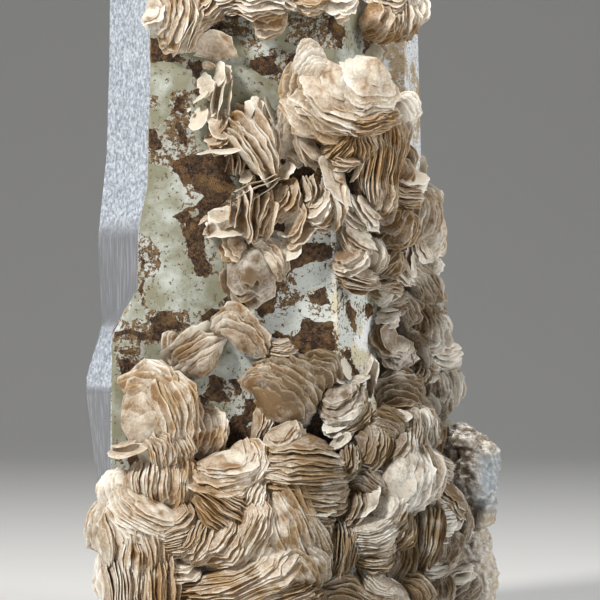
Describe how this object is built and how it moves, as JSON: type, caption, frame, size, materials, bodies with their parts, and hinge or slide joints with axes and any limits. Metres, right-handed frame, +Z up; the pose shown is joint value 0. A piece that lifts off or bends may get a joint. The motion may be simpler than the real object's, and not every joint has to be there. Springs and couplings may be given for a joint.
{
  "type": "quartz and calcite mineral specimen",
  "caption": "Tall quartz crystals, bare on one side and coated on the other, overgrown by rosettes of thin calcite plates and cut flat at the foot.",
  "frame": {"origin": "middle of the flat cut under the front crystal", "axes": "+Z up along the crystals, +X to the viewer's right, +Y away from the viewer"},
  "size_m": [0.0647, 0.0575, 0.115],
  "materials": {
    "quartz": "satin",
    "calcite": "satin",
    "frosted_calcite": "matte"
  },
  "bodies": {
    "root": {"quartz_front_crystal": "quartz", "quartz_rear_crystal": "quartz", "calcite_left_blades": "calcite", "calcite_half_moon": "calcite", "calcite_upright_sheets": "calcite", "calcite_white_triangle": "calcite", "calcite_left_fan": "calcite", "calcite_top_middle_blades": "calcite", "calcite_top_brown_disc": "calcite", "calcite_top_point": "calcite", "calcite_top_right_discs": "calcite", "calcite_upper_rosette": "calcite", "calcite_middle_rosettes": "calcite", "calcite_edge_rosette": "calcite", "calcite_grey_disc": "calcite", "calcite_tan_fan": "calcite", "calcite_crescent": "calcite", "calcite_shell_dome": "calcite", "calcite_right_plates": "calcite", "calcite_small_disc": "calcite", "calcite_right_crust": "calcite", "calcite_foot_mass": "calcite", "calcite_right_mass": "calcite", "frosted_cluster": "frosted_calcite", "calcite_back_mass": "calcite", "calcite_rear_mass": "calcite", "calcite_back_rosette_low": "calcite", "calcite_back_rosette_high": "calcite", "calcite_rear_rosette_low": "calcite", "calcite_rear_rosette_high": "calcite", "calcite_rear_side_crust": "calcite"}
  },
  "joints": []
}
